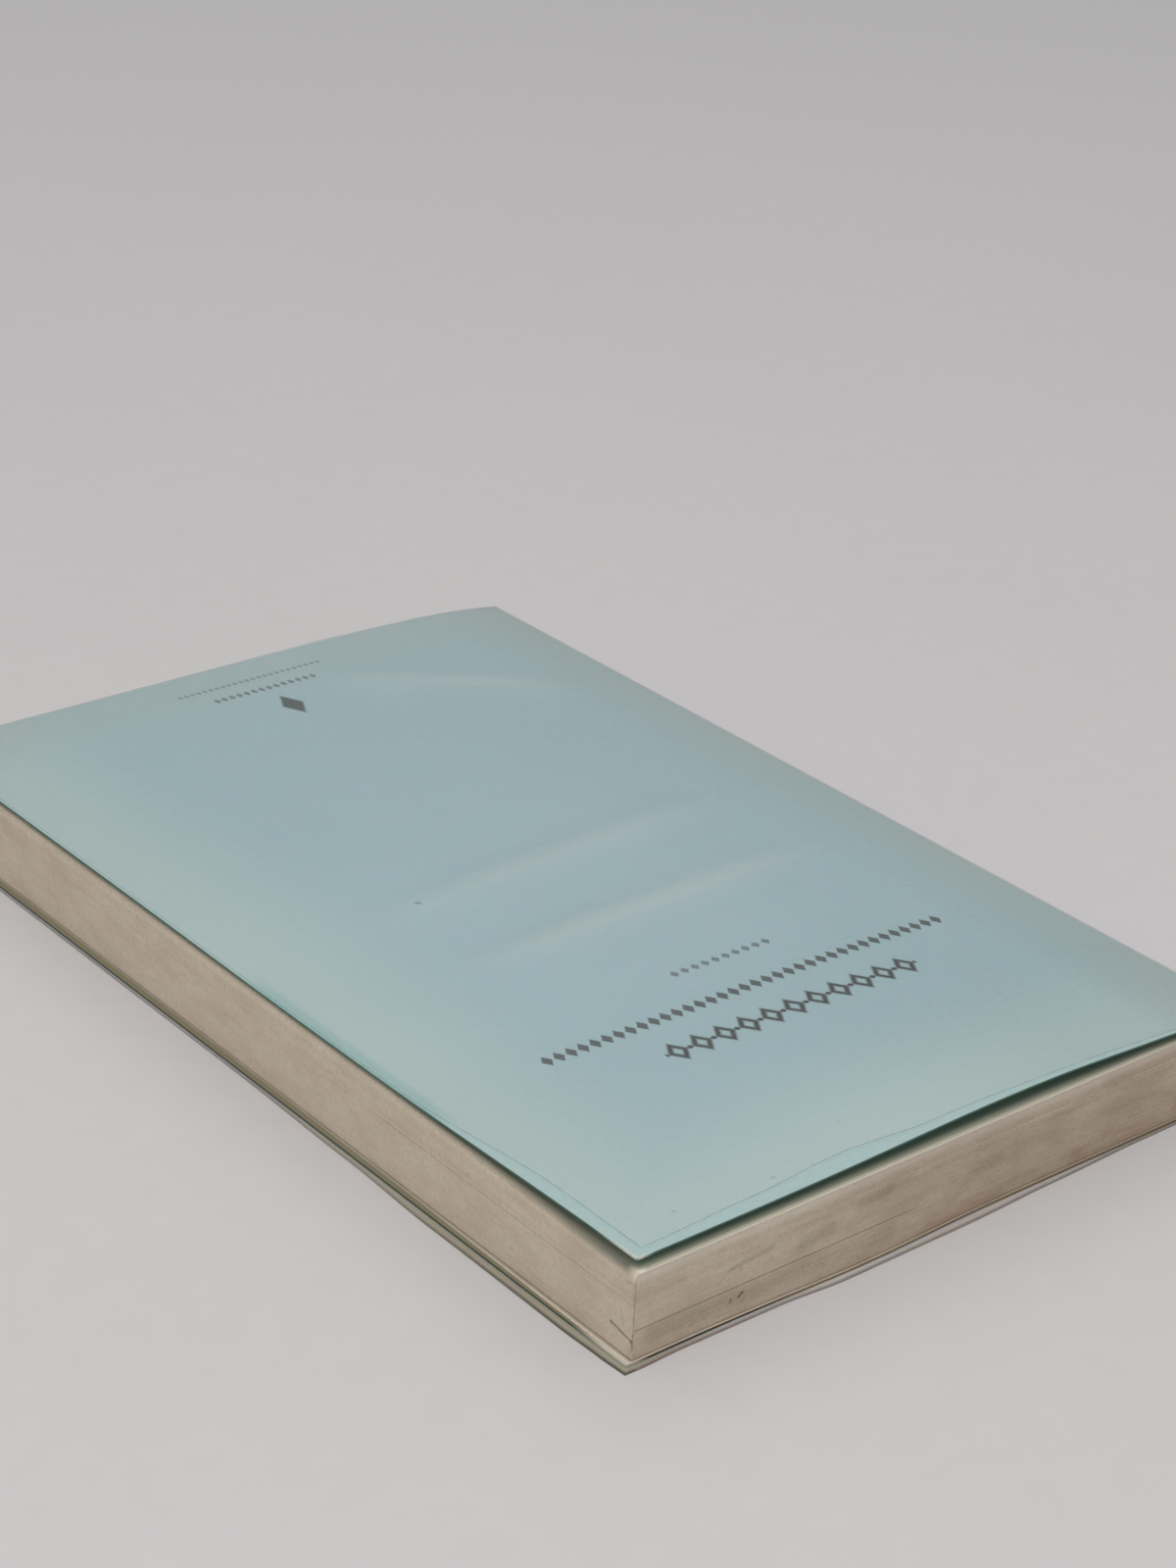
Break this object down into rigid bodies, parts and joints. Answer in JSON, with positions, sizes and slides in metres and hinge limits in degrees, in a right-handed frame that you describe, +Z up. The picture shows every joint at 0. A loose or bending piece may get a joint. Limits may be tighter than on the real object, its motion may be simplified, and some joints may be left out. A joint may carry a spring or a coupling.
{
  "type": "paperback book",
  "caption": "Perfect-bound paperback with a card cover in a clear film jacket; both covers turn at the spine folds.",
  "frame": {"origin": "under the middle of the whole part, on the surface that the book lies on", "axes": "+Z up through the front cover, +Y towards the head, +X from the spine to the fore-edge"},
  "size_m": [0.1376, 0.2114, 0.02],
  "materials": {
    "pages": "matt, toned page edges",
    "glue": "hot-melt adhesive",
    "cover_card": "matt, dyed through",
    "clear_film": "clear, glossy"
  },
  "bodies": {
    "book": {"text_block": "pages", "spine_glue": "glue", "cover_spine": "cover_card", "jacket_film_spine": "clear_film"},
    "front": {"front_cover": "cover_card", "jacket_film_front": "clear_film"},
    "back": {"back_cover": "cover_card", "jacket_film_back": "clear_film"}
  },
  "joints": [
    {"name": "front_cover_hinge", "type": "hinge", "parent": "book", "child": "front", "pos_m": [-0.06887, 0, 0.01422], "axis": [0, -1, 0], "range_deg": [0, 175]},
    {"name": "back_cover_hinge", "type": "hinge", "parent": "book", "child": "back", "pos_m": [-0.06887, 0, 0.00047], "axis": [0, 1, 0], "range_deg": [0, 175]}
  ]
}
